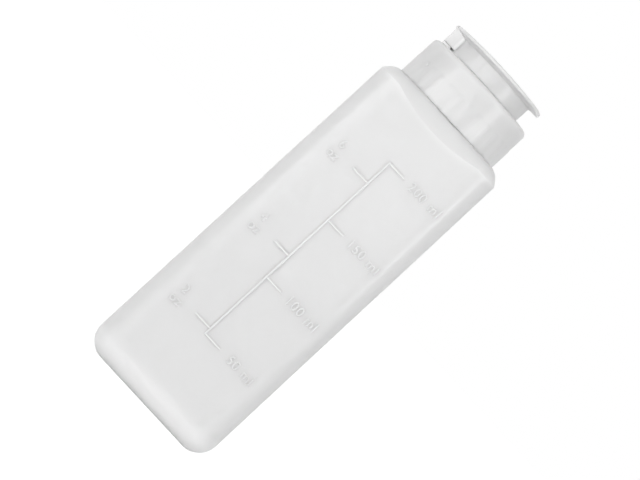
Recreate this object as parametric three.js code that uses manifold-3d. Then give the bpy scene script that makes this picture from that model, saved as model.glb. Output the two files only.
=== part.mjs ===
// Oil squeeze bottle with a screw cap and a flip lid, in millimetres, +Z up.
// The origin is the centre of the base. The scale on the front face looks towards -Y,
// the lid's hinge is on the -X side and its thumb edge on the +X side.
import * as THREE from 'three';
import { mergeVertices } from 'three/addons/utils/BufferGeometryUtils.js';
import Module from 'manifold-3d';

const wasm = await Module();
wasm.setup();

// Bottle body
const baseHalfWidth = 25.0;
const shoulderHalfWidth = 24.5;
const cornerRadius = 7.6;
const wall = 1.0;
const floorThickness = 1.5;
const baseFillet = 7.0;
const baseRecess = 1.4;
const standingBand = 3.6;
const deckHeight = 123.8;
const shoulderDropAtCorner = 3.7;
const shoulderDropAtFace = 6.1;
const shoulderBevel = 5.4;
const shoulderStartAngle = 40;

// Neck and thread
const neckRadius = 16.9;
const neckWall = 1.7;
const neckHeight = 12.3;
const threadPitch = 4.2;
const threadTurns = 1.25;
const threadDepth = 1.2;
const threadRootWidth = 1.8;
const threadCrestWidth = 0.8;
const threadStartBelowLip = 8.6;

// Clearances
const seatGap = 0.1;
const threadGap = 0.4;
const threadRunOut = 0.3;
const threadFlankGap = 0.2;
const skirtFootGap = 1.4;
const lidSeatGap = 0.3;
const plugGap = 0.3;

// Screw cap
const capWall = 1.5;
const capDeckThickness = 1.5;
const capEdgeRadius = 1.7;
const sealThickness = 1.0;
const ribCount = 30;
const ribHeight = 0.2;
const ribFootShare = 0.65;
const ribCrestShare = 0.35;
const ribbedBandHeight = 6.6;
const spoutHeight = 3.4;
const spoutFootRadius = 4.6;
const spoutTipRadius = 3.6;
const spoutHoleRadius = 1.7;
const centringRingHeight = 1.1;
const centringRingWall = 1.0;

// Flip lid
const lidCupRadius = 14.7;
const lidWall = 1.2;
const lidCupHeight = 6.7;
const flangeRadius = 18.5;
const flangeRim = 1.3;
const flangeDrop = 0.4;
const flangeFlare = 0.6;
const domeRise = 0.6;
const plugDepth = 1.2;
const earWidth = 10.0;
const earOverhang = 3.3;
const hingePadHeight = 0.6;
const hingeWebHeight = 1.0;
const thumbLipDrop = 0.8;
const thumbLipWidth = 0.8;
const thumbLipInset = 0.15;
const thumbLipAngle = 70;

// Raised scale on the front face
const scaleRelief = 0.35;
const scaleLineWidth = 0.7;
const scaleLineOffset = -2.0;
const scaleFoot = 28.1;
const scaleTop = 102.4;
const markSpacing = 24.7;
const markLength = 6.5;
const markCount = 4;
const smallMarkFoot = 30.2;
const smallMarkSpacing = 31.6;
const smallMarkLength = 6.3;
const smallMarkCount = 3;

// Fineness of the round shapes
const sidesPerCorner = 6;
const roundSides = 72;
const threadStepsPerTurn = 36;
const threadFadeSteps = 4;
const threadTipShare = 0.15;
const faceStops = 6;
const sharpestCorner = 0.6;
const filletSteps = 5;

// Places that follow from the sizes above
const lipHeight = deckHeight + neckHeight;
const sealFoot = lipHeight + seatGap;
const capCeiling = sealFoot + sealThickness + seatGap;
const capDeckTop = capCeiling + capDeckThickness;
const capFoot = deckHeight + skirtFootGap;
const threadCrestRadius = neckRadius + threadDepth;
const capBoreRadius = threadCrestRadius + threadGap;
const capRadius = capBoreRadius + capWall;
const ribbedRadius = capRadius + ribHeight;
const lidFoot = capDeckTop + lidSeatGap;
const lidCeiling = capDeckTop + lidCupHeight;
const flangeFoot = lidCeiling - flangeDrop;
const flangeTop = flangeFoot + flangeRim;
const hingeX = -(lidCupRadius + earOverhang);
const hingeZ = capDeckTop + hingeWebHeight;

function colour(hex, roughness) {
  return new THREE.MeshStandardMaterial({ color: hex, roughness, metalness: 0 });
}

// Closed skin over a row of rings with equal point counts, both ends closed to the ring's middle.
function skin(rings) {
  const count = rings[0].length;
  const positions = [];
  const index = [];
  for (const ring of rings) {
    for (const point of ring) positions.push(point.x, point.y, point.z);
  }
  for (let row = 0; row < rings.length - 1; row += 1) {
    for (let i = 0; i < count; i += 1) {
      const here = row * count + i;
      const next = row * count + (i + 1) % count;
      index.push(here, next, next + count, here, next + count, here + count);
    }
  }
  const lastRow = (rings.length - 1) * count;
  const ends = [[rings[0], 0, true], [rings[rings.length - 1], lastRow, false]];
  for (const [ring, offset, isFirst] of ends) {
    const middle = ring.reduce((sum, point) => sum.add(point), new THREE.Vector3());
    middle.divideScalar(count);
    const middleIndex = positions.length / 3;
    positions.push(middle.x, middle.y, middle.z);
    for (let i = 0; i < count; i += 1) {
      const here = offset + i;
      const next = offset + (i + 1) % count;
      if (isFirst) index.push(middleIndex, next, here);
      else index.push(middleIndex, here, next);
    }
  }
  const geometry = new THREE.BufferGeometry();
  geometry.setAttribute('position', new THREE.Float32BufferAttribute(positions, 3));
  geometry.setIndex(index);
  return geometry;
}

function solid(geometry) {
  const plain = geometry.clone();
  plain.deleteAttribute('normal');
  plain.deleteAttribute('uv');
  const merged = mergeVertices(plain, 1e-5);
  return new wasm.Manifold(new wasm.Mesh({
    numProp: 3,
    vertProperties: new Float32Array(merged.attributes.position.array),
    triVerts: new Uint32Array(merged.index.array),
  }));
}

function geometryOf(body) {
  const mesh = body.getMesh();
  const geometry = new THREE.BufferGeometry();
  geometry.setAttribute('position', new THREE.BufferAttribute(mesh.vertProperties, 3));
  geometry.setIndex(new THREE.BufferAttribute(mesh.triVerts, 1));
  geometry.computeVertexNormals();
  return geometry;
}

function turned(profile, sides) {
  const points = profile.map(([radius, height]) => new THREE.Vector2(radius, height));
  const geometry = new THREE.LatheGeometry(points, sides);
  geometry.rotateX(Math.PI / 2);
  return solid(geometry);
}

function block(low, high) {
  const size = new THREE.Vector3().subVectors(high, low);
  const centre = new THREE.Vector3().addVectors(low, high).multiplyScalar(0.5);
  const geometry = new THREE.BoxGeometry(size.x, size.y, size.z);
  geometry.translate(centre.x, centre.y, centre.z);
  return solid(geometry);
}

// Quarter turn from the first direction to the second, as [share of first, share of second].
function quarter(steps) {
  const shares = [];
  for (let i = 0; i <= steps; i += 1) {
    const angle = (i / steps) * Math.PI / 2;
    shares.push([Math.cos(angle), Math.sin(angle)]);
  }
  return shares;
}

// Rounded square as points, each with how near it lies to the middle of its face.
function roundedSquare(halfWidth, radius) {
  const points = [];
  const flat = halfWidth - radius;
  for (let side = 0; side < 4; side += 1) {
    const start = (side * Math.PI) / 2;
    for (let i = 0; i <= sidesPerCorner; i += 1) {
      const angle = start + (i / sidesPerCorner) * Math.PI / 2;
      const centreAngle = start + Math.PI / 4;
      const x = Math.SQRT2 * flat * Math.cos(centreAngle) + radius * Math.cos(angle);
      const y = Math.SQRT2 * flat * Math.sin(centreAngle) + radius * Math.sin(angle);
      points.push({ x, y, faceShare: 0 });
    }
    const faceAngle = start + Math.PI / 2;
    for (let stop = 1; stop < faceStops; stop += 1) {
      const along = 1 - (2 * stop) / faceStops;
      const x = halfWidth * Math.cos(faceAngle) + along * flat * Math.sin(faceAngle);
      const y = halfWidth * Math.sin(faceAngle) - along * flat * Math.cos(faceAngle);
      points.push({ x, y, faceShare: 1 - along * along });
    }
  }
  return points;
}

// One ring of the body: the rounded square drawn in by an inset, at a height of each point's own.
function squareRing(halfWidth, radius, inset, heightOf) {
  const ring = roundedSquare(halfWidth - inset, Math.max(radius - inset, sharpestCorner));
  return ring.map((point) => new THREE.Vector3(point.x, point.y, heightOf(point.faceShare)));
}

// A round ring with its points at the same bearings as the rounded square's.
function roundRing(radius, height) {
  return roundedSquare(baseHalfWidth, cornerRadius).map((point) => {
    const bearing = Math.atan2(point.y, point.x);
    return new THREE.Vector3(radius * Math.cos(bearing), radius * Math.sin(bearing), height);
  });
}

// Rings of the shoulder bevel. It leaves the face at a crease, which dips in the middle of each face.
function shoulderRings(inset) {
  const rings = [];
  const top = deckHeight - inset;
  const dropOf = (share) => THREE.MathUtils.lerp(shoulderDropAtCorner, shoulderDropAtFace, share);
  const start = THREE.MathUtils.degToRad(shoulderStartAngle);
  for (let i = 0; i <= filletSteps; i += 1) {
    const angle = THREE.MathUtils.lerp(start, Math.PI / 2, i / filletSteps);
    const drawnIn = inset + shoulderBevel * (1 - Math.cos(angle) / Math.cos(start));
    const left = (1 - Math.sin(angle)) / (1 - Math.sin(start));
    const heightOf = (share) => top - dropOf(share) * left;
    rings.push(squareRing(shoulderHalfWidth, cornerRadius, drawnIn, heightOf));
  }
  return rings;
}

// Rings of the rounded lower edge, from the standing face up to the side.
function baseRings(inset, foot) {
  const rings = [];
  const radius = baseFillet - inset;
  for (const [drawnIn, rise] of quarter(filletSteps)) {
    const height = foot + radius * (1 - drawnIn);
    rings.push(squareRing(baseHalfWidth, cornerRadius, inset + radius * (1 - rise), () => height));
  }
  return rings;
}

function bottleShell() {
  const recessEdge = baseFillet + standingBand;
  const boreRadius = neckRadius - neckWall;
  const footRadius = cornerRadius + recessEdge;
  const recess = squareRing(baseHalfWidth, footRadius, recessEdge + baseRecess, () => baseRecess);
  const standing = squareRing(baseHalfWidth, footRadius, recessEdge, () => 0);
  const outside = [recess, standing, ...baseRings(0, 0), ...shoulderRings(0)];
  const neck = [
    roundRing(neckRadius, deckHeight),
    roundRing(neckRadius, lipHeight),
    roundRing(boreRadius, lipHeight),
    roundRing(boreRadius, deckHeight - wall),
  ];
  const innerFloor = baseRecess + floorThickness;
  const inside = [...shoulderRings(wall).reverse(), ...baseRings(wall, innerFloor).reverse()];
  return solid(skin([...outside, ...neck, ...inside]));
}

// Helical ridge of trapezoid section. It stands on the root radius and points out or in.
function threadRidge(rootRadius, crestRadius, foot, turns, startAngle) {
  const steps = Math.round(turns * threadStepsPerTurn);
  const outward = crestRadius > rootRadius;
  const rings = [];
  for (let i = 0; i <= steps; i += 1) {
    const angle = startAngle + (i / threadStepsPerTurn) * 2 * Math.PI;
    const middle = foot + (i / threadStepsPerTurn) * threadPitch;
    const fade = Math.min(1, Math.min(i, steps - i) / threadFadeSteps);
    const height = THREE.MathUtils.lerp(threadTipShare, 1, fade);
    const crest = THREE.MathUtils.lerp(rootRadius, crestRadius, height);
    const section = [
      [rootRadius, -threadRootWidth / 2],
      [crest, -threadCrestWidth / 2],
      [crest, threadCrestWidth / 2],
      [rootRadius, threadRootWidth / 2],
    ];
    const ring = section.map(([radius, rise]) => new THREE.Vector3(
      radius * Math.cos(angle),
      radius * Math.sin(angle),
      middle + rise,
    ));
    rings.push(outward ? ring.reverse() : ring);
  }
  return solid(skin(rings));
}

function raisedScale() {
  const faceHeight = deckHeight - shoulderDropAtFace - baseFillet;
  const faceSlope = (baseHalfWidth - shoulderHalfWidth) / faceHeight;
  const faceAt = (height) => baseHalfWidth - faceSlope * (height - baseFillet);
  const depth = wall / 2;
  const bar = (left, right, foot, top) => {
    const face = -faceAt((foot + top) / 2);
    return block(
      new THREE.Vector3(left, face - scaleRelief, foot),
      new THREE.Vector3(right, face + depth, top),
    );
  };
  const halfLine = scaleLineWidth / 2;
  const pieces = [];
  const lineParts = 4;
  const partHeight = (scaleTop - scaleFoot) / lineParts;
  for (let i = 0; i < lineParts; i += 1) {
    const foot = scaleFoot + i * partHeight;
    pieces.push(bar(scaleLineOffset - halfLine, scaleLineOffset + halfLine, foot, foot + partHeight));
  }
  for (let i = 0; i < markCount; i += 1) {
    const middle = scaleFoot + i * markSpacing;
    pieces.push(bar(scaleLineOffset, scaleLineOffset + markLength, middle - halfLine, middle + halfLine));
  }
  for (let i = 0; i < smallMarkCount; i += 1) {
    const middle = smallMarkFoot + i * smallMarkSpacing;
    const left = scaleLineOffset - smallMarkLength;
    pieces.push(bar(left, scaleLineOffset, middle - halfLine, middle + halfLine));
  }
  return pieces.reduce((sum, piece) => sum.add(piece));
}

function buildBottle() {
  const threadRoot = neckRadius - threadRunOut;
  const threadFoot = lipHeight - threadStartBelowLip;
  const thread = threadRidge(threadRoot, threadCrestRadius, threadFoot, threadTurns, 0);
  return bottleShell().add(thread).add(raisedScale());
}

// Ribbed band: an outline whose radius steps out at each rib, round the collar's lower half.
function ribbedBand() {
  const outline = new THREE.Shape();
  const pitch = (2 * Math.PI) / ribCount;
  for (let i = 0; i < ribCount; i += 1) {
    const foot = (pitch * ribFootShare) / 2;
    const crest = (pitch * ribCrestShare) / 2;
    const corners = [[-foot, capRadius], [-crest, ribbedRadius], [crest, ribbedRadius], [foot, capRadius]];
    for (const [offset, radius] of corners) {
      const angle = i * pitch + offset;
      const x = radius * Math.cos(angle);
      const y = radius * Math.sin(angle);
      if (i === 0 && offset === corners[0][0]) outline.moveTo(x, y);
      else outline.lineTo(x, y);
    }
  }
  outline.closePath();
  const hole = new THREE.Path();
  hole.absarc(0, 0, capRadius - capWall / 2, 0, 2 * Math.PI, true);
  outline.holes.push(hole);
  const geometry = new THREE.ExtrudeGeometry(outline, {
    depth: ribbedBandHeight,
    bevelEnabled: false,
    curveSegments: roundSides / 2,
  });
  geometry.translate(0, 0, capFoot);
  return solid(geometry);
}

function buildCap() {
  const edge = quarter(filletSteps).map(([out, up]) => [
    capRadius - capEdgeRadius * (1 - out),
    capDeckTop - capEdgeRadius * (1 - up),
  ]);
  const ringOuter = lidCupRadius - lidWall - lidSeatGap;
  const ringInner = ringOuter - centringRingWall;
  const ringTop = capDeckTop + centringRingHeight;
  const spoutTop = capDeckTop + spoutHeight;
  const profile = [
    [capBoreRadius, capFoot],
    [capRadius, capFoot],
    ...edge,
    [ringOuter, capDeckTop],
    [ringOuter, ringTop],
    [ringInner, ringTop],
    [ringInner, capDeckTop],
    [spoutFootRadius, capDeckTop],
    [spoutTipRadius, spoutTop],
    [spoutHoleRadius, spoutTop],
    [spoutHoleRadius, capCeiling],
    [capBoreRadius, capCeiling],
    [capBoreRadius, capFoot],
  ];
  const threadRoot = capBoreRadius + threadRunOut;
  const drop = (threadRootWidth + threadCrestWidth) / 2 + threadFlankGap;
  const threadFoot = lipHeight - threadStartBelowLip - drop;
  const crest = neckRadius + threadGap;
  const thread = threadRidge(threadRoot, crest, threadFoot, threadTurns, 0);
  const padLow = new THREE.Vector3(hingeX, -earWidth / 2, capDeckTop - capDeckThickness / 2);
  const padHigh = new THREE.Vector3(-lidCupRadius - lidSeatGap, earWidth / 2, capDeckTop + hingePadHeight);
  return turned(profile, roundSides).add(ribbedBand()).add(thread).add(block(padLow, padHigh));
}

// Short downturned edge under the flange on the thumb side.
function thumbLip() {
  const outer = flangeRadius - thumbLipInset;
  const inner = outer - thumbLipWidth;
  const foot = flangeFoot - thumbLipDrop;
  const top = flangeFoot + flangeRim / 2;
  const ring = turned([[inner, foot], [outer, foot], [outer, top], [inner, top], [inner, foot]], roundSides);
  const reach = outer * Math.cos(THREE.MathUtils.degToRad(thumbLipAngle / 2));
  const low = new THREE.Vector3(reach, -flangeRadius, foot - 1);
  const high = new THREE.Vector3(flangeRadius + 1, flangeRadius, top + 1);
  return ring.intersect(block(low, high));
}

// Block that carries the lid at its hinge, hollowed to the round of the cup's wall.
function hingeEar() {
  const top = flangeFoot + flangeRim / 2;
  const core = lidCupRadius - lidWall / 2;
  const low = new THREE.Vector3(hingeX, -earWidth / 2, hingeZ);
  const high = new THREE.Vector3(-Math.sqrt(core ** 2 - (earWidth / 2) ** 2), earWidth / 2, top);
  const round = turned([[0, hingeZ - 1], [core, hingeZ - 1], [core, top + 1], [0, top + 1]], roundSides);
  return block(low, high).subtract(round);
}

function buildLid() {
  const dome = [];
  for (let i = 0; i < filletSteps; i += 1) {
    const share = i / filletSteps;
    dome.push([flangeRadius * (1 - share), flangeTop + domeRise * (1 - (1 - share) ** 2)]);
  }
  const plugTip = capDeckTop + spoutHeight - plugDepth;
  const plugRadius = spoutHoleRadius - plugGap;
  const profile = [
    [0, plugTip],
    [plugRadius * 0.7, plugTip],
    [plugRadius, plugTip + plugDepth / 2],
    [plugRadius, lidCeiling],
    [lidCupRadius - lidWall, lidCeiling],
    [lidCupRadius - lidWall, lidFoot],
    [lidCupRadius, lidFoot],
    [lidCupRadius, flangeFoot - flangeFlare],
    [flangeRadius, flangeFoot],
    ...dome,
    [0, flangeTop + domeRise],
  ];
  return turned(profile, roundSides).add(thumbLip()).add(hingeEar());
}

function buildSealRing() {
  const outer = threadCrestRadius - seatGap;
  const inner = neckRadius - neckWall;
  return turned([
    [inner, sealFoot],
    [outer, sealFoot],
    [outer, sealFoot + sealThickness],
    [inner, sealFoot + sealThickness],
    [inner, sealFoot],
  ], roundSides);
}

function piece(name, body, material) {
  const mesh = new THREE.Mesh(geometryOf(body), material);
  mesh.name = name;
  return mesh;
}

const milkyPlastic = colour(0xe6e6e6, 0.35);
const capPlastic = colour(0xdadada, 0.3);
const foam = colour(0xf2f2f0, 0.8);

const part = new THREE.Group();
part.add(piece('bottle', buildBottle(), milkyPlastic));
part.add(piece('screw_cap', buildCap(), capPlastic));
part.add(piece('flip_lid', buildLid(), capPlastic));
part.add(piece('seal_ring', buildSealRing(), foam));

export default part;
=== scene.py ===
"""Milky squeeze bottle for oil, with a ribbed screw cap and a flip lid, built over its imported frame."""
import math

import bmesh
import bpy
from bpy.props import FloatProperty, IntProperty, PointerProperty, StringProperty
from mathutils import Matrix, Vector


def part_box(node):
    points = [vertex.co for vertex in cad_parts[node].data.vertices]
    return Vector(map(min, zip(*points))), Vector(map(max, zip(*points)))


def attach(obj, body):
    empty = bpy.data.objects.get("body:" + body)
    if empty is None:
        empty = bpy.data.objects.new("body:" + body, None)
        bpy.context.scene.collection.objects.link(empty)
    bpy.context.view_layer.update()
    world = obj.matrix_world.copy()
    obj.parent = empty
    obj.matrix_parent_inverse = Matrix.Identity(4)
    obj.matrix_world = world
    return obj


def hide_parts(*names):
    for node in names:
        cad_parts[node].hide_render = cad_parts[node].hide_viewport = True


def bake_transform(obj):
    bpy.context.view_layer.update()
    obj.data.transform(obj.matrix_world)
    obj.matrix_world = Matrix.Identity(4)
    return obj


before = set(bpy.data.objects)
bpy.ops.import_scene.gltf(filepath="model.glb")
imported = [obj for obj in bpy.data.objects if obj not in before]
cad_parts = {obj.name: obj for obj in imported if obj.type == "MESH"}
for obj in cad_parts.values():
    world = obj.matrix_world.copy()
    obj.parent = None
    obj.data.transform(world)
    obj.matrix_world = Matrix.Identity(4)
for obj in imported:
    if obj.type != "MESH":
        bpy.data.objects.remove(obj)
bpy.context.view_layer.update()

bl_info = {
    "name": "Squeeze bottle",
    "version": (1, 0, 0),
    "blender": (4, 5, 0),
    "location": "View3D > Sidebar > Squeeze bottle",
    "description": "Builds a milky squeeze bottle with its screw cap, flip lid, seal ring and stage",
    "category": "Add Mesh",
}

MM = 0.001
BOTTLE_LOW, BOTTLE_HIGH = (Vector(corner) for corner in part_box("bottle"))
CAP_LOW, CAP_HIGH = (Vector(corner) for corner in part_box("screw_cap"))
LID_LOW, LID_HIGH = (Vector(corner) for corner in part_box("flip_lid"))
SEAL_LOW, SEAL_HIGH = (Vector(corner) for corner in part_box("seal_ring"))
DECK_TOP_MM = 138.8
THREAD_TURNS = 1.25

# Lamps, each with its place, width and height in metres and the name of its power.
LAMPS = {
    "front_softbox": ((-0.38, -1.26, 0.15), 1.1, 0.28, "front_power"),
    "left_softbox": ((-0.92, -0.77, 0.16), 0.35, 0.3, "left_power"),
    "right_softbox": ((0.92, -0.77, 0.16), 0.35, 0.3, "right_power"),
    "left_rim": ((-0.75, 0.3, 1.05), 0.06, 0.06, "rim_power"),
    "right_rim": ((0.75, 0.3, 1.05), 0.06, 0.06, "rim_power"),
}


def length(name, description, millimetres):
    return FloatProperty(name=name, description=description, default=millimetres * MM,
                         unit="LENGTH", precision=5)


def power(name, description, watts):
    return FloatProperty(name=name, description=description, default=watts, min=0.0)


def colour(name, description, hex_code):
    return StringProperty(name=name, description=description, default=hex_code)


class BottleSizes(bpy.types.PropertyGroup):
    half_width: length("Half width", "Half the body's width at its foot", BOTTLE_HIGH.x / MM)
    shoulder_half_width: length("Shoulder half width", "Half the body's width under the shoulder", 24.5)
    corner_radius: length("Corner radius", "Round of the upright corners", 7.6)
    wall: length("Wall", "Thickness of the blown wall", 1.0)
    floor: length("Floor", "Thickness of the base", 1.5)
    base_round: length("Base round", "Round of the lower edge", 7.0)
    standing_band: length("Standing band", "Width of the band the bottle stands on", 3.6)
    recess: length("Recess", "Depth of the hollow under the base", 1.4)
    deck_height: length("Deck height", "Height of the flat shoulder", 123.8)
    drop_at_corner: length("Bevel drop at corners", "Height of the shoulder bevel at a corner", 3.7)
    drop_at_face: length("Bevel drop at faces", "Height of the shoulder bevel in the middle of a face", 6.1)
    bevel: length("Bevel width", "Width of the shoulder bevel", 5.4)
    neck_radius: length("Neck radius", "Outer radius of the neck", 16.9)
    neck_wall: length("Neck wall", "Thickness of the neck", 1.7)
    thread_pitch: length("Thread pitch", "Rise of the thread in one turn", 4.2)
    thread_depth: length("Thread depth", "How far the thread stands out", 1.2)
    thread_below_lip: length("Thread start", "Start of the thread below the lip", 8.6)


class ScaleSizes(bpy.types.PropertyGroup):
    relief: length("Relief", "How far the scale stands out of the face", 0.11)
    line_width: length("Line width", "Width of the line and the marks", 0.75)
    line_offset: length("Line offset", "Line's place beside the middle of the face", -2.0)
    foot: length("Foot", "Height of the lowest mark", 28.1)
    spacing: length("Spacing", "Distance between two marks", 24.7)
    mark_length: length("Mark length", "Length of a mark", 6.5)
    small_foot: length("Small foot", "Height of the lowest small mark", 30.2)
    small_spacing: length("Small spacing", "Distance between two small marks", 31.6)
    small_length: length("Small mark length", "Length of a small mark", 6.3)
    figure_height: length("Figure height", "Height of the scale's figures", 3.0)
    figure_offset: length("Figure offset", "Place of the figures' middle", 13.1)
    small_offset: length("Small figure offset", "Place of the small figures' middle", -15.4)
    row: length("Row", "Distance between the two rows of a small figure", 4.1)
    marks: IntProperty(name="Marks", description="Number of long marks", default=4, min=1)
    small_marks: IntProperty(name="Small marks", description="Number of small marks", default=3, min=1)
    step: IntProperty(name="Step", description="Millilitres from one mark to the next", default=50, min=1)
    small_step: IntProperty(name="Small step", description="Ounces from one small mark to the next",
                            default=2, min=1)


class CapSizes(bpy.types.PropertyGroup):
    radius: length("Radius", "Radius of the plain upper band", 20.0)
    ribbed_radius: length("Ribbed radius", "Radius over the ribs", 20.14)
    foot: length("Foot", "Height of the collar's lower rim", 123.84)
    ribbed_height: length("Ribbed height", "Height of the ribbed band", 7.9)
    bore_radius: length("Bore radius", "Inner radius of the collar", 18.5)
    ceiling: length("Ceiling", "Height of the deck's underside", 137.3)
    deck_top: length("Deck top", "Height of the deck", DECK_TOP_MM)
    edge_radius: length("Edge radius", "Round of the collar's upper edge", 1.7)
    ring_outer: length("Ring radius", "Outer radius of the ring that centres the lid", 13.2)
    ring_wall: length("Ring wall", "Thickness of that ring", 1.0)
    ring_height: length("Ring height", "Height of that ring", 1.1)
    spout_foot: length("Spout foot", "Radius of the spout at its foot", 4.6)
    spout_tip: length("Spout tip", "Radius of the spout at its tip", 3.6)
    spout_hole: length("Spout hole", "Radius of the spout's hole", 1.7)
    spout_height: length("Spout height", "Height of the spout over the deck", CAP_HIGH.z / MM - DECK_TOP_MM)
    thread_foot: length("Thread foot", "Height where the inner thread starts", 126.0)
    dot_radius: length("Dot radius", "Radius of the small dot moulded on the collar", 0.6)
    dot_height: length("Dot height", "Height of the dot's middle", 130.7)
    dot_angle: FloatProperty(name="Dot angle", description="Bearing of the dot round the collar",
                             default=math.radians(-142.7), subtype="ANGLE")
    ribs: IntProperty(name="Ribs", description="Number of grip ribs", default=30, min=3)


class LidSizes(bpy.types.PropertyGroup):
    cup_radius: length("Cup radius", "Outer radius of the lid's cup", 14.7)
    wall: length("Wall", "Thickness of the cup", 1.2)
    foot: length("Foot", "Height of the cup's lower rim", 138.85)
    ceiling: length("Ceiling", "Height of the cup's inner top", 145.5)
    flange_foot: length("Flange foot", "Height of the flange's lower edge", 145.1)
    flare: length("Flare", "How much lower the flange's underside is at the cup", 0.6)
    top: length("Top", "Height of the dome's middle", LID_HIGH.z / MM)
    flange_radius: length("Flange radius", "Radius of the flange", LID_HIGH.x / MM)
    rim: length("Rim", "Thickness of the flange at its edge", 1.05)
    plug_radius: length("Plug radius", "Radius of the plug", 1.4)
    plug_tip: length("Plug tip", "Height of the plug's tip", 141.0)
    hinge_x: length("Hinge place", "Place of the bending line across the lid", -18.0)
    hinge_z: length("Hinge height", "Height of the bending line", 139.8)
    hinge_width: length("Hinge width", "Length of the bending line", 10.0)
    web: length("Web", "Thickness of the living hinge", 0.35)
    lip_drop: length("Lip drop", "How far the thumb edge turns down", 0.6)
    lip_angle: FloatProperty(name="Lip angle", description="Sweep of the thumb edge",
                             default=math.radians(80), subtype="ANGLE")


class Finishes(bpy.types.PropertyGroup):
    bottle: colour("Bottle", "Colour of the blown polyethylene", "EEEEEE")
    # The scale's colour is the bottle's made a few steps darker: painted shade where the raised scale shows
    # darker than the face.
    scale: colour("Scale", "Colour of the raised scale", "DCDCDC")
    cap: colour("Cap", "Colour of the moulded polypropylene", "DEDEDE")
    seal: colour("Seal", "Colour of the foam ring", "F0F0EC")
    floor: colour("Floor", "Colour of the floor", "E2E2E2")


class StageSizes(bpy.types.PropertyGroup):
    distance: FloatProperty(name="Distance", description="Camera's distance from the bottle's axis",
                            default=0.945, unit="LENGTH")
    height: FloatProperty(name="Height", description="Camera's height", default=0.0886, unit="LENGTH")
    azimuth: FloatProperty(name="Azimuth", description="Camera's turn round the bottle",
                           default=math.radians(-0.5), subtype="ANGLE")
    pan: FloatProperty(name="Pan", description="Camera's turn off the axis",
                       default=math.radians(-0.058), subtype="ANGLE")
    tilt: FloatProperty(name="Tilt", description="How far the camera looks down",
                        default=math.radians(1.048), subtype="ANGLE")
    roll: FloatProperty(name="Roll", description="Camera's roll about its view",
                        default=math.radians(47.3), subtype="ANGLE")
    lens: FloatProperty(name="Lens", description="Focal length in millimetres", default=175.4)
    floor_size: FloatProperty(name="Floor size", description="Width of the floor", default=8.0,
                              unit="LENGTH")
    floor_glow: FloatProperty(name="Floor glow", description="Light the floor adds where it is seen",
                              default=0.74)
    front_power: power("Front", "Power of the large front lamp in watts", 5.3)
    left_power: power("Left", "Power of the left lamp in watts", 3.1)
    right_power: power("Right", "Power of the right lamp in watts", 3.8)
    rim_power: power("Rim", "Power of each small lamp above and behind in watts", 0.5)
    ambient: FloatProperty(name="Ambient", description="Strength of the light from all round", default=0.83)
    overhead: FloatProperty(name="Overhead", description="Share of that strength straight overhead",
                            default=0.3)


def linear(hex_code):
    """Turns an sRGB hex code into a linear colour with alpha."""
    shares = [int(hex_code[i:i + 2], 16) / 255 for i in (0, 2, 4)]
    return tuple(c / 12.92 if c <= 0.04045 else ((c + 0.055) / 1.055) ** 2.4 for c in shares) + (1.0,)


def settings():
    return bpy.context.scene.squeeze_bottle


class BottleSettings(bpy.types.PropertyGroup):
    bottle: PointerProperty(type=BottleSizes)
    scale: PointerProperty(type=ScaleSizes)
    cap: PointerProperty(type=CapSizes)
    lid: PointerProperty(type=LidSizes)
    finish: PointerProperty(type=Finishes)
    stage: PointerProperty(type=StageSizes)


# Meshes

def add_object(name, mesh, material, sharp_angle=math.radians(35)):
    """Links a smooth-shaded object whose edges stay crisp above the given angle."""
    mesh.shade_smooth()
    mesh.set_sharp_from_angle(angle=sharp_angle)
    mesh.materials.append(material)
    piece = bpy.data.objects.new(name, mesh)
    bpy.context.scene.collection.objects.link(piece)
    return piece


def skin_mesh(name, rings, joined=False):
    """Skins a row of rings. A joined row closes on itself, an open one is closed by a cap at each end."""
    shape = bmesh.new()
    rows = [[shape.verts.new(point) for point in ring] for ring in rings]
    count = len(rows[0])
    pairs = list(zip(rows, rows[1:]))
    if joined:
        pairs.append((rows[-1], rows[0]))
    for low, high in pairs:
        for i in range(count):
            j = (i + 1) % count
            shape.faces.new((low[i], low[j], high[j], high[i]))
    if not joined:
        for row in (rows[0], rows[-1]):
            middle = shape.verts.new(sum((v.co for v in row), Vector()) / count)
            for i in range(count):
                shape.faces.new((middle, row[i], row[(i + 1) % count]))
    bmesh.ops.recalc_face_normals(shape, faces=shape.faces)
    mesh = bpy.data.meshes.new(name)
    shape.to_mesh(mesh)
    shape.free()
    return mesh


def arc(centre, radius, start, end, steps):
    """Points of a round stretch in the (radius, height) plane, angles in degrees from outwards."""
    points = []
    for i in range(steps + 1):
        angle = math.radians(start + (end - start) * i / steps)
        points.append((centre[0] + radius * math.cos(angle), centre[1] + radius * math.sin(angle)))
    return points


def ring_at(radius_of, height_of, sides):
    """A ring of points whose radius and height may change round the axis."""
    ring = []
    for i in range(sides):
        angle = 2 * math.pi * i / sides
        radius = radius_of(angle)
        ring.append(Vector((radius * math.cos(angle), radius * math.sin(angle), height_of(angle))))
    return ring


def turned_rings(profile, sides):
    return [ring_at(lambda a, r=radius: r, lambda a, z=height: z, sides) for radius, height in profile]


def soft_block(name, low, high, bevel, material, cuts=0):
    """A block with rounded edges between two corners."""
    shape = bmesh.new()
    bmesh.ops.create_cube(shape, size=1.0)
    size = Vector(high) - Vector(low)
    centre = (Vector(high) + Vector(low)) / 2
    bmesh.ops.scale(shape, vec=size, verts=shape.verts)
    bmesh.ops.translate(shape, vec=centre, verts=shape.verts)
    if cuts:
        bmesh.ops.subdivide_edges(shape, edges=shape.edges[:], cuts=cuts, use_grid_fill=True)
    else:
        bmesh.ops.bevel(shape, geom=shape.edges[:], offset=bevel, segments=3, profile=0.5, affect="EDGES")
    mesh = bpy.data.meshes.new(name)
    shape.to_mesh(mesh)
    shape.free()
    return add_object(name, mesh, material)


# Materials

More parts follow.
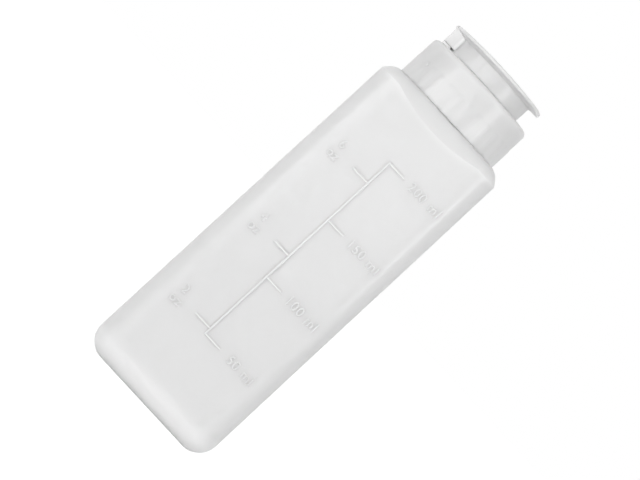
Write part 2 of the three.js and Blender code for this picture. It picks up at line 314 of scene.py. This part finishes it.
def add_node(tree, kind, place, inputs=None, links=None, **values):
    """Adds a node, sets its properties and inputs, and links inputs to other nodes' outputs."""
    node = tree.nodes.new(kind)
    node.location = place
    for key, value in values.items():
        setattr(node, key, value)
    for key, value in (inputs or {}).items():
        node.inputs[key].default_value = value
    for key, (source, output) in (links or {}).items():
        tree.links.new(source.outputs[output], node.inputs[key])
    return node


def new_material(name):
    material = bpy.data.materials.new(name)
    material.use_nodes = True
    material.node_tree.nodes.clear()
    return material, material.node_tree


def shaded(hex_code, change):
    """A neutral step lighter or darker than a hex colour."""
    return "".join(f"{max(0, min(255, int(hex_code[i:i + 2], 16) + change)):02X}" for i in (0, 2, 4))


def milky_plastic(name, hex_code, roughness, ior, wave_mm, grain_mm, wave_depth, grain_depth,
                  clearness=0.0, depth=0.0):
    """Milky plastic: faint clouds in its colour, a slow wave of the wall and a fine satin grain."""
    cloud_step = 2
    satin_low, satin_high = 0.04, 0.05
    material, tree = new_material(name)
    place = add_node(tree, "ShaderNodeTexCoord", (-1200, 0))
    clouds = add_node(tree, "ShaderNodeTexNoise", (-900, 300),
                      {"Scale": 1 / (wave_mm * MM), "Detail": 2.0}, {"Vector": (place, "Object")})
    grain = add_node(tree, "ShaderNodeTexNoise", (-900, -300),
                     {"Scale": 1 / (grain_mm * MM), "Detail": 3.0}, {"Vector": (place, "Object")})
    tint = add_node(tree, "ShaderNodeMix", (-500, 300),
                    {"A": linear(shaded(hex_code, -cloud_step)), "B": linear(shaded(hex_code, cloud_step))},
                    {"Factor": (clouds, "Fac")}, data_type="RGBA")
    slow = add_node(tree, "ShaderNodeBump", (-500, 0), {"Distance": wave_depth * MM, "Strength": 1.0},
                    {"Height": (clouds, "Fac")})
    fine = add_node(tree, "ShaderNodeBump", (-250, -100), {"Distance": grain_depth * MM, "Strength": 1.0},
                    {"Height": (grain, "Fac"), "Normal": (slow, "Normal")})
    gloss = add_node(tree, "ShaderNodeMapRange", (-500, -300),
                     {"To Min": roughness - satin_low, "To Max": roughness + satin_high},
                     {"Value": (clouds, "Fac")})
    shader = add_node(tree, "ShaderNodeBsdfPrincipled", (0, 0), {
        "IOR": ior,
        "Metallic": 0.0,
        "Transmission Weight": clearness,
        "Subsurface Weight": 1.0 if depth else 0.0,
        "Subsurface Radius": (1.0, 1.0, 1.0),
        "Subsurface Scale": depth * MM,
        "Coat Weight": 0.15,
        "Coat Roughness": 0.16,
    }, {"Base Color": (tint, "Result"), "Roughness": (gloss, "Result"), "Normal": (fine, "Normal")})
    add_node(tree, "ShaderNodeOutputMaterial", (300, 0), None, {"Surface": (shader, "BSDF")})
    return material


def blown_polyethylene():
    """Natural polyethylene, blown into a satin mould: milky, soft gloss, slightly uneven wall."""
    return milky_plastic("blown_natural_polyethylene", settings().finish.bottle, roughness=0.48, ior=1.51,
                         wave_mm=14.0, grain_mm=0.35, wave_depth=0.04, grain_depth=0.004,
                         clearness=0.03, depth=3.0)


def raised_polyethylene():
    """The raised scale of the same polyethylene, painted a few steps darker than the bottle: painted shade
    where the raised scale shows darker than the face. No light travels in it, so its small edges stay
    crisp.
    """
    return milky_plastic("blown_polyethylene_relief", settings().finish.scale, roughness=0.5, ior=1.51,
                         wave_mm=14.0, grain_mm=0.35, wave_depth=0.0, grain_depth=0.003)


def moulded_polypropylene():
    """Natural polypropylene, moulded in a satin tool: milky, with an even wall and a soft gloss."""
    return milky_plastic("moulded_natural_polypropylene", settings().finish.cap, roughness=0.45, ior=1.49,
                         wave_mm=6.0, grain_mm=0.25, wave_depth=0.012, grain_depth=0.003, depth=4.0)


def solid_polypropylene():
    """The cap's polypropylene in its small solid parts: the same satin, but no light travels in them."""
    return milky_plastic("solid_natural_polypropylene", settings().finish.cap, roughness=0.45, ior=1.49,
                         wave_mm=6.0, grain_mm=0.25, wave_depth=0.0, grain_depth=0.003)


def polyethylene_foam():
    """Closed-cell polyethylene foam, die cut: matt, with tiny cells that sink into pits in their middles,
    where painted shade darkens them.
    """
    cell = 0.4 * MM
    material, tree = new_material("die_cut_polyethylene_foam")
    place = add_node(tree, "ShaderNodeTexCoord", (-900, 0))
    cells = add_node(tree, "ShaderNodeTexVoronoi", (-600, 0), {"Scale": 1 / cell},
                     {"Vector": (place, "Object")})
    code = settings().finish.seal
    # Painted shade: each cell is darker towards its middle, where the bump sinks it into a pit.
    tint = add_node(tree, "ShaderNodeMix", (-300, 200), {"A": linear(shaded(code, -10)), "B": linear(code)},
                    {"Factor": (cells, "Distance")}, data_type="RGBA")
    relief = add_node(tree, "ShaderNodeBump", (-300, -100), {"Distance": 0.05 * MM},
                      {"Height": (cells, "Distance")})
    shader = add_node(tree, "ShaderNodeBsdfPrincipled", (0, 0), {"Roughness": 0.85, "IOR": 1.45},
                      {"Base Color": (tint, "Result"), "Normal": (relief, "Normal")})
    add_node(tree, "ShaderNodeOutputMaterial", (300, 0), None, {"Surface": (shader, "BSDF")})
    return material


def material_named(name, maker):
    return bpy.data.materials.get(name) or maker()


def bottle_material():
    return material_named("blown_natural_polyethylene", blown_polyethylene)


def scale_material():
    return material_named("blown_polyethylene_relief", raised_polyethylene)


def small_part_material():
    return material_named("solid_natural_polypropylene", solid_polypropylene)


def cap_material():
    return material_named("moulded_natural_polypropylene", moulded_polypropylene)


# Bottle

def rounded_square(half_width, radius, corner_steps=14, face_stops=14):
    """Points of a rounded square, each with its share of the way to the middle of its face."""
    points = []
    flat = half_width - radius
    for side in range(4):
        start = side * math.pi / 2
        turn = Matrix.Rotation(start, 2)
        for i in range(corner_steps + 1):
            angle = i / corner_steps * math.pi / 2
            corner = Vector((flat + radius * math.cos(angle), flat + radius * math.sin(angle)))
            points.append((turn @ corner, 0.0))
        for stop in range(1, face_stops):
            along = 1 - 2 * stop / face_stops
            points.append((turn @ Vector((along * flat, half_width)), 1 - along * along))
    return points


def square_ring(half_width, radius, inset, height_of):
    least_radius = 0.6 * MM
    ring = rounded_square(half_width - inset, max(radius - inset, least_radius))
    return [Vector((point.x, point.y, height_of(share))) for point, share in ring]


def round_ring(radius, height):
    """A round ring with its points at the bearings of the rounded square's."""
    s = settings().bottle
    ring = rounded_square(s.half_width, s.corner_radius)
    return [Vector((*(point.normalized() * radius), height)) for point, _ in ring]


def shoulder_rings(inset, steps=12, start=math.radians(40)):
    """Rings of the shoulder bevel. It leaves the face at a crease and turns level at the deck."""
    s = settings().bottle
    top = s.deck_height - inset
    more_at_face = s.drop_at_face - s.drop_at_corner
    rings = []
    for i in range(steps + 1):
        angle = start + (math.pi / 2 - start) * i / steps
        drawn_in = inset + s.bevel * (1 - math.cos(angle) / math.cos(start))
        left = (1 - math.sin(angle)) / (1 - math.sin(start))
        rings.append(square_ring(
            s.shoulder_half_width, s.corner_radius, drawn_in,
            lambda share, left=left: top - left * (s.drop_at_corner + more_at_face * share),
        ))
    return rings


def base_rings(inset, foot, steps=14):
    s = settings().bottle
    radius = s.base_round - inset
    rings = []
    for i in range(steps + 1):
        angle = i / steps * math.pi / 2
        height = foot + radius * (1 - math.cos(angle))
        rings.append(square_ring(s.half_width, s.corner_radius, inset + radius * (1 - math.sin(angle)),
                                 lambda share, z=height: z))
    return rings


def bottle_rings():
    s = settings().bottle
    edge = s.base_round + s.standing_band
    lip = BOTTLE_HIGH.z
    bore = s.neck_radius - s.neck_wall
    soft = 0.4 * MM
    rings = []
    for inwards, up in ((2, 1), (1.7, 1), (0.3, 0.15), (0, 0)):
        rings.append(square_ring(s.half_width, s.corner_radius + edge, edge + inwards * s.recess,
                                 lambda share, z=up * s.recess: z))
    rings += base_rings(0.0, 0.0)
    rings += shoulder_rings(0.0)
    neck_profile = [(s.neck_radius + soft, s.deck_height), (s.neck_radius, s.deck_height + soft)]
    neck_profile += arc((s.neck_radius - soft, lip - soft), soft, 0, 90, 4)
    neck_profile += arc((bore + soft, lip - soft), soft, 90, 180, 4)
    neck_profile += [(bore, s.deck_height), (bore + soft, s.deck_height - s.wall)]
    rings += [round_ring(radius, height) for radius, height in neck_profile]
    rings += reversed(shoulder_rings(s.wall))
    rings += reversed(base_rings(s.wall, s.recess + s.floor))
    return rings


def thread_rings(root, crest, foot, turns, pitch, steps_per_turn=72):
    """Rings of a helical ridge of trapezoid section whose ends fade out."""
    half_root = 0.9 * MM
    half_crest = 0.4 * MM
    fade_steps = 8
    end_share = 0.15
    steps = round(turns * steps_per_turn)
    rings = []
    for i in range(steps + 1):
        angle = 2 * math.pi * i / steps_per_turn
        middle = foot + pitch * i / steps_per_turn
        fade = min(1.0, min(i, steps - i) / fade_steps)
        top = root + (crest - root) * (end_share + (1 - end_share) * fade)
        section = [(root, -half_root), (top, -half_crest), (top, half_crest), (root, half_root)]
        rings.append([Vector((r * math.cos(angle), r * math.sin(angle), middle + z)) for r, z in section])
    return rings


def face_at(height):
    """Half width of the tapering body at a height."""
    s = settings().bottle
    top = s.deck_height - s.drop_at_face
    share = (height - s.base_round) / (top - s.base_round)
    return s.half_width + (s.shoulder_half_width - s.half_width) * share


def raised_bar(name, left, right, foot, top):
    """A raised bar of the scale, leaning with the face."""
    sizes = settings().scale
    middle = (foot + top) / 2
    embedded = 0.3 * MM
    edge = 0.15 * MM
    piece = soft_block(name, (left, -face_at(middle) - sizes.relief, foot),
                       (right, -face_at(middle) + embedded, top), edge, scale_material())
    for vertex in piece.data.vertices:
        vertex.co.y += face_at(middle) - face_at(vertex.co.z)
    return piece


def raised_figure(name, words, middle, middle_height):
    """A raised figure on the face, from Blender's built-in letters."""
    sizes = settings().scale
    edge = 0.05 * MM
    size_per_height = 1.4
    curve = bpy.data.curves.new(name + "_curve", "FONT")
    curve.body = words
    curve.size = sizes.figure_height * size_per_height
    curve.extrude = sizes.relief / 2
    curve.bevel_depth = edge
    curve.space_character = 1.1
    curve.align_x = "CENTER"
    curve.align_y = "CENTER"
    text = bpy.data.objects.new(name + "_text", curve)
    mesh = bpy.data.meshes.new_from_object(text)
    bpy.data.objects.remove(text)
    mesh.transform(Matrix.Rotation(math.pi / 2, 4, "X"))
    depth = -face_at(middle_height) - sizes.relief / 2 + edge
    mesh.transform(Matrix.Translation((middle, depth, middle_height)))
    mesh.name = name
    return add_object(name, mesh, scale_material())


class SQUEEZE_OT_bottle(bpy.types.Operator):
    """Builds the blown body with its neck and thread"""
    bl_idname = "squeeze.bottle"
    bl_label = "Bottle"

    def execute(self, context):
        s = settings().bottle
        embedded = 0.2 * MM
        crease_angle = math.radians(14)
        shell = add_object("bottle_shell", skin_mesh("bottle_shell", bottle_rings()), bottle_material(),
                           crease_angle)
        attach(shell, "bottle")
        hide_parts("bottle")
        thread = thread_rings(s.neck_radius - embedded, s.neck_radius + s.thread_depth,
                              BOTTLE_HIGH.z - s.thread_below_lip, THREAD_TURNS, s.thread_pitch)
        ridge = add_object("neck_thread", skin_mesh("neck_thread", thread), bottle_material())
        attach(ridge, "bottle")
        return {"FINISHED"}


class SQUEEZE_OT_scale(bpy.types.Operator):
    """Builds the raised fill scale on the front face"""
    bl_idname = "squeeze.scale"
    bl_label = "Fill scale"

    def execute(self, context):
        s = settings().scale
        half = s.line_width / 2
        top = s.foot + (s.marks - 1) * s.spacing
        line = s.line_offset
        pieces = [raised_bar("scale_line", line - half, line + half, s.foot - half, top + half)]
        for i in range(s.marks):
            middle = s.foot + i * s.spacing
            right = s.line_offset + s.mark_length
            pieces.append(raised_bar(f"scale_mark_{i}", s.line_offset, right, middle - half, middle + half))
            volume = f"{(i + 1) * s.step} ml"
            pieces.append(raised_figure(f"scale_figure_{i}", volume, s.figure_offset, middle))
        for i in range(s.small_marks):
            middle = s.small_foot + i * s.small_spacing
            left = s.line_offset - s.small_length
            pieces.append(raised_bar(f"small_mark_{i}", left, s.line_offset, middle - half, middle + half))
            upper = middle + 0.6 * s.row
            volume = str((i + 1) * s.small_step)
            pieces.append(raised_figure(f"small_figure_{i}", volume, s.small_offset, upper))
            pieces.append(raised_figure(f"small_unit_{i}", "oz", s.small_offset, upper - s.row))
        for piece in pieces:
            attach(piece, "bottle")
        return {"FINISHED"}


# Screw cap

def collar_rings(sides=360):
    s = settings().cap
    soft = 0.35 * MM
    band_top = s.foot + s.ribbed_height
    spout_top = s.deck_top + s.spout_height
    ring_inner = s.ring_outer - s.ring_wall
    ring_top = s.deck_top + s.ring_height
    crisp = 0.1 * MM
    profile = [(s.bore_radius, s.foot + crisp)]
    profile += arc((s.radius - crisp, s.foot + crisp), crisp, -90, 0, 4)
    profile += [(s.radius, s.foot + s.ribbed_height * i / 6) for i in range(1, 6)]
    profile += [(s.radius, band_top - 2 * soft), (s.radius, band_top), (s.radius, band_top + soft)]
    profile += arc((s.radius - s.edge_radius, s.deck_top - s.edge_radius), s.edge_radius, 0, 90, 10)
    profile += [(s.ring_outer + soft, s.deck_top), (s.ring_outer, s.deck_top + soft)]
    profile += arc((s.ring_outer - soft, ring_top - soft), soft, 0, 90, 3)
    profile += arc((ring_inner + soft, ring_top - soft), soft, 90, 180, 3)
    profile += [(ring_inner, s.deck_top + soft), (ring_inner - soft, s.deck_top)]
    profile += [(s.spout_foot + 2 * soft, s.deck_top), (s.spout_foot, s.deck_top + 2 * soft)]
    profile += arc((s.spout_tip - soft, spout_top - soft), soft, 0, 90, 4)
    profile += arc((s.spout_hole + soft, spout_top - soft), soft, 90, 180, 4)
    profile += [(s.spout_hole, s.ceiling)]
    profile += [(s.bore_radius - soft, s.ceiling), (s.bore_radius, s.ceiling - soft)]

    def radius_of(base, height):
        if abs(base - s.radius) > 1e-7 or height > band_top + 1e-7:
            return lambda angle: base
        ramp = min(1.0, max(0.0, (band_top - height) / (2 * soft)))

        def ribbed(angle):
            wave = 0.5 + 0.5 * math.cos(angle * s.ribs)
            crest = wave * wave * (3 - 2 * wave)
            return base + (s.ribbed_radius - s.radius) * crest * ramp
        return ribbed
    return [ring_at(radius_of(r, z), lambda a, z=z: z, sides) for r, z in profile]


def moulded_dot(name, material):
    """A low round dot that stands out of the collar."""
    s = settings().cap
    edge = 0.1 * MM
    embedded = 0.4 * MM
    straight = 0.08 * MM
    profile = [(s.dot_radius, -embedded)] + arc((s.dot_radius - edge, straight), edge, 0, 90, 3)
    mesh = skin_mesh(name, turned_rings(profile, 32))
    outwards = Vector((math.cos(s.dot_angle), math.sin(s.dot_angle), 0.0))
    mesh.transform(outwards.to_track_quat("Z", "Y").to_matrix().to_4x4())
    mesh.transform(Matrix.Translation(outwards * s.radius + Vector((0, 0, s.dot_height))))
    return add_object(name, mesh, material)


class SQUEEZE_OT_cap(bpy.types.Operator):
    """Builds the screw cap's collar with its ribs, deck, spout and inner thread"""
    bl_idname = "squeeze.cap"
    bl_label = "Screw cap"

    def execute(self, context):
        s = settings().cap
        lid = settings().lid
        bottle = settings().bottle
        material = cap_material()
        collar = add_object("cap_collar", skin_mesh("cap_collar", collar_rings(), joined=True), material)
        in_wall = 0.2 * MM
        clear_of_neck = 0.4 * MM
        thread = thread_rings(s.bore_radius + in_wall, bottle.neck_radius + clear_of_neck,
                              s.thread_foot, THREAD_TURNS, bottle.thread_pitch)
        ridge = add_object("cap_thread", skin_mesh("cap_thread", thread), material)
        embedded = 0.4 * MM
        beside_cup = 0.3 * MM
        under_ear = 0.06 * MM
        edge = 0.15 * MM
        pad = soft_block("hinge_pad", (lid.hinge_x, -lid.hinge_width / 2, s.deck_top - embedded),
                         (-lid.cup_radius - beside_cup, lid.hinge_width / 2, lid.hinge_z - under_ear),
                         edge, small_part_material())
        dot = moulded_dot("collar_dot", small_part_material())
        for piece in (collar, ridge, pad, dot):
            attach(piece, "cap")
        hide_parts("screw_cap")
        return {"FINISHED"}


# Flip lid

def lid_rings(sides=240):
    """Cup, flange and dome as one turned form, whose flange edge turns down on the thumb side."""
    s = settings().lid
    soft = 0.3 * MM
    rim_top = s.flange_foot + s.rim
    neck = s.flange_foot - s.flare
    inner = s.cup_radius - s.wall
    taper = 0.6 * MM
    plug = [(0.5 * s.plug_radius, s.plug_tip), (s.plug_radius, s.plug_tip + taper)]
    plug += [(s.plug_radius, s.ceiling - soft)]
    cup = [(s.plug_radius + soft, s.ceiling), (inner - soft, s.ceiling), (inner, s.ceiling - soft)]
    cup += [(inner, s.foot + soft), (inner + soft, s.foot)]
    cup += [(s.cup_radius - soft, s.foot), (s.cup_radius, s.foot + soft)]
    cup += [(s.cup_radius, neck - soft), (s.cup_radius + soft, neck)]
    round_edge = 0.45 * MM
    rim = arc((s.flange_radius - round_edge, s.flange_foot + round_edge), round_edge, -90, 0, 4)
    rim += arc((s.flange_radius - round_edge, rim_top - round_edge), round_edge, 0, 90, 4)
    flange = []
    for i in range(1, 8):
        share = i / 8
        flange.append((s.cup_radius + (rim[0][0] - s.cup_radius) * share, neck + s.flare * share))
    dome = []
    for i in range(1, 16):
        share = i / 16
        radius = rim[-1][0] * (1 - share)
        dome.append((radius, rim_top + (s.top - rim_top) * (1 - (1 - share) ** 2)))

    lip_width = 2.4 * MM
    top_share = 0.3

    def height_of(radius, height, under):
        reach = (radius - (s.flange_radius - lip_width)) / lip_width
        if reach <= 0:
            return lambda angle: height

        def drooped(angle):
            off = abs(math.atan2(math.sin(angle), math.cos(angle))) / (s.lip_angle / 2)
            fade = max(0.0, 1 - off * off) ** 2
            return height - s.lip_drop * under * fade * reach * reach
        return drooped
    rings = turned_rings(plug + cup, sides)
    rings += [ring_at(lambda a, r=r: r, height_of(r, z, 1.0), sides) for r, z in flange]
    for i, (r, z) in enumerate(rim):
        share = 1.0 - (1.0 - top_share) * i / (len(rim) - 1)
        rings.append(ring_at(lambda a, r=r: r, height_of(r, z, share), sides))
    rings += [ring_at(lambda a, r=r: r, height_of(r, z, top_share), sides) for r, z in dome]
    return rings


def ear_outline(inset):
    """The ear in plan: round outer corners, and a fillet on each side where it meets the cup."""
    s = settings().lid
    half = s.hinge_width / 2 - inset
    corner = 0.3 * MM
    fillet = 1.5 * MM + inset
    middle = (-math.sqrt((s.cup_radius + fillet) ** 2 - (half + fillet) ** 2), half + fillet)
    meets = math.degrees(math.atan2(-middle[1], -middle[0])) % 360
    inside = s.cup_radius - s.wall / 2
    side = arc((s.hinge_x + inset + corner, half - corner), corner, 180, 90, 4)
    side += arc(middle, fillet, 270, meets, 6)
    reach = math.degrees(math.atan2(middle[1], -middle[0]))
    side += arc((0.0, 0.0), inside, 180 - reach, 180 - reach / 4, 4)
    return side + [(x, -y) for x, y in reversed(side)]


def ear_rings(foot, top):
    soft = 0.25 * MM
    rings = []
    for inset, height in ((soft, foot), (0.3 * soft, foot + 0.3 * soft), (0.0, foot + soft), (0.0, top)):
        rings.append([Vector((x, y, height)) for x, y in ear_outline(inset)])
    return rings


class SQUEEZE_OT_lid(bpy.types.Operator):
    """Builds the flip lid, its ear and the living hinge that joins it to the cap"""
    bl_idname = "squeeze.lid"
    bl_label = "Flip lid"

    def execute(self, context):
        s = settings().lid
        material = cap_material()
        lid = add_object("lid_cup_and_flange", skin_mesh("lid_cup_and_flange", lid_rings()), material)
        in_flange = 0.3 * MM
        ear = add_object("lid_ear", skin_mesh("lid_ear", ear_rings(s.hinge_z, s.flange_foot + in_flange)),
                         small_part_material())
        for piece in (lid, ear):
            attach(piece, "lid")
        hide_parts("flip_lid")
        reach = 0.55 * MM
        half = s.hinge_width / 2 - 0.4 * MM
        web = soft_block("living_hinge", (s.hinge_x, -half, s.hinge_z - reach),
                         (s.hinge_x + s.web, half, s.hinge_z + reach), 0.0, material, cuts=8)
        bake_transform(web)
        return {"FINISHED"}


class SQUEEZE_OT_seal(bpy.types.Operator):
    """Builds the foam ring that seals the neck's lip"""
    bl_idname = "squeeze.seal"
    bl_label = "Seal ring"

    def execute(self, context):
        outer = SEAL_HIGH.x
        inner = settings().bottle.neck_radius - settings().bottle.neck_wall
        soft = 0.2 * MM
        profile = arc((outer - soft, SEAL_LOW.z + soft), soft, -90, 0, 3)
        profile += arc((outer - soft, SEAL_HIGH.z - soft), soft, 0, 90, 3)
        profile += arc((inner + soft, SEAL_HIGH.z - soft), soft, 90, 180, 3)
        profile += arc((inner + soft, SEAL_LOW.z + soft), soft, 180, 270, 3)
        mesh = skin_mesh("foam_seal", turned_rings(profile, 160), joined=True)
        ring = add_object("foam_seal", mesh, material_named("die_cut_polyethylene_foam", polyethylene_foam))
        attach(ring, "seal")
        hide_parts("seal_ring")
        return {"FINISHED"}


# Stage

def seen_directly(tree):
    """1 where the camera sees a thing straight, in a gloss or through the plastic, 0 for stray light."""
    path = add_node(tree, "ShaderNodeLightPath", (-800, 200))
    seen = add_node(tree, "ShaderNodeMath", (-600, 200), None,
                    {0: (path, "Is Camera Ray"), 1: (path, "Is Glossy Ray")}, operation="MAXIMUM")
    return add_node(tree, "ShaderNodeMath", (-400, 200), None,
                    {0: (seen, "Value"), 1: (path, "Is Transmission Ray")}, operation="MAXIMUM")


def floor_material():
    """White paper sweep: it looks white to the camera and keeps the bottle's soft shadow."""
    fibre = 1.5 * MM
    fibre_depth = 0.01 * MM
    material, tree = new_material("white_paper_floor")
    place = add_node(tree, "ShaderNodeTexCoord", (-900, -200))
    fibres = add_node(tree, "ShaderNodeTexNoise", (-600, -200), {"Scale": 1 / fibre, "Detail": 2.0},
                      {"Vector": (place, "Object")})
    relief = add_node(tree, "ShaderNodeBump", (-300, -200), {"Distance": fibre_depth},
                      {"Height": (fibres, "Fac")})
    glow = add_node(tree, "ShaderNodeMath", (-200, 200), {1: settings().stage.floor_glow},
                    {0: (seen_directly(tree), "Value")}, operation="MULTIPLY")
    light = add_node(tree, "ShaderNodeEmission", (0, 200), {"Color": (1, 1, 1, 1)},
                     {"Strength": (glow, "Value")})
    paper = add_node(tree, "ShaderNodeBsdfDiffuse", (0, 0), {"Color": linear(settings().finish.floor)},
                     {"Normal": (relief, "Normal")})
    both = add_node(tree, "ShaderNodeAddShader", (200, 100), None,
                    {0: (light, "Emission"), 1: (paper, "BSDF")})
    add_node(tree, "ShaderNodeOutputMaterial", (400, 100), None, {"Surface": (both, "Shader")})
    return material


def build_world(ambient, overhead):
    """Even white light that fades towards the zenith, and plain white wherever the camera sees it."""
    world = bpy.data.worlds.new("white_studio")
    bpy.context.scene.world = world
    world.use_nodes = True
    tree = world.node_tree
    tree.nodes.clear()
    place = add_node(tree, "ShaderNodeTexCoord", (-800, -100))
    upwards = add_node(tree, "ShaderNodeSeparateXYZ", (-600, -100), None, {0: (place, "Generated")})
    dimmed = add_node(tree, "ShaderNodeMapRange", (-400, -100),
                      {"To Min": ambient, "To Max": overhead * ambient}, {"Value": (upwards, "Z")})
    strength = add_node(tree, "ShaderNodeMath", (-200, 200), None,
                        {0: (seen_directly(tree), "Value"), 1: (dimmed, "Result")}, operation="MAXIMUM")
    light = add_node(tree, "ShaderNodeBackground", (0, 200), {"Color": (1, 1, 1, 1)},
                     {"Strength": (strength, "Value")})
    add_node(tree, "ShaderNodeOutputWorld", (200, 200), None, {"Surface": (light, "Background")})


def area_lamp(name, place, target, width, height, watts):
    data = bpy.data.lights.new(name, "AREA")
    data.shape = "RECTANGLE"
    data.size = width
    data.size_y = height
    data.energy = watts
    lamp = bpy.data.objects.new(name, data)
    bpy.context.scene.collection.objects.link(lamp)
    lamp.location = place
    lamp.rotation_euler = (Vector(target) - Vector(place)).to_track_quat("-Z", "Y").to_euler()


class SQUEEZE_OT_stage(bpy.types.Operator):
    """Builds the white floor, the lamps and the camera"""
    bl_idname = "squeeze.stage"
    bl_label = "Stage"

    def execute(self, context):
        s = settings().stage
        shape = bmesh.new()
        bmesh.ops.create_grid(shape, x_segments=1, y_segments=1, size=s.floor_size / 2)
        mesh = bpy.data.meshes.new("floor")
        shape.to_mesh(mesh)
        shape.free()
        floor = add_object("floor", mesh, floor_material())
        build_world(s.ambient, s.overhead)
        middle = (0.0, 0.0, BOTTLE_HIGH.z / 2)
        for name, (place, width, height, power_name) in LAMPS.items():
            area_lamp(name, place, middle, width, height, getattr(s, power_name))
        data = bpy.data.cameras.new("photo_camera")
        data.sensor_width = 36.0
        data.lens = s.lens
        data.clip_start = 0.05
        data.clip_end = 50.0
        camera = bpy.data.objects.new("photo_camera", data)
        bpy.context.scene.collection.objects.link(camera)
        place = Vector((math.sin(s.azimuth) * s.distance, -math.cos(s.azimuth) * s.distance, s.height))
        turn = Matrix.Rotation(s.azimuth + s.pan, 4, "Z")
        look = Matrix.Rotation(math.pi / 2 - s.tilt, 4, "X")
        camera.matrix_world = Matrix.Translation(place) @ turn @ look @ Matrix.Rotation(s.roll, 4, "Z")
        bpy.context.scene.camera = camera
        bpy.context.scene.view_settings.view_transform = "Standard"
        return {"FINISHED"}


OPERATORS = (SQUEEZE_OT_bottle, SQUEEZE_OT_scale, SQUEEZE_OT_cap, SQUEEZE_OT_lid, SQUEEZE_OT_seal,
             SQUEEZE_OT_stage)


class SQUEEZE_PT_panel(bpy.types.Panel):
    """Lists the bottle's pieces in the sidebar"""
    bl_idname = "SQUEEZE_PT_panel"
    bl_label = "Squeeze bottle"
    bl_space_type = "VIEW_3D"
    bl_region_type = "UI"
    bl_category = "Squeeze bottle"

    def draw(self, context):
        for operator in OPERATORS:
            self.layout.operator(operator.bl_idname)


CLASSES = (BottleSizes, ScaleSizes, CapSizes, LidSizes, Finishes, StageSizes, BottleSettings,
           *OPERATORS, SQUEEZE_PT_panel)


def register():
    for cls in CLASSES:
        bpy.utils.register_class(cls)
    bpy.types.Scene.squeeze_bottle = PointerProperty(type=BottleSettings)


def unregister():
    del bpy.types.Scene.squeeze_bottle
    for cls in reversed(CLASSES):
        bpy.utils.unregister_class(cls)


def main():
    register()
    bpy.ops.squeeze.stage()
    bpy.ops.squeeze.bottle()
    bpy.ops.squeeze.scale()
    bpy.ops.squeeze.cap()
    bpy.ops.squeeze.lid()
    bpy.ops.squeeze.seal()


if __name__ == "__main__":
    main()
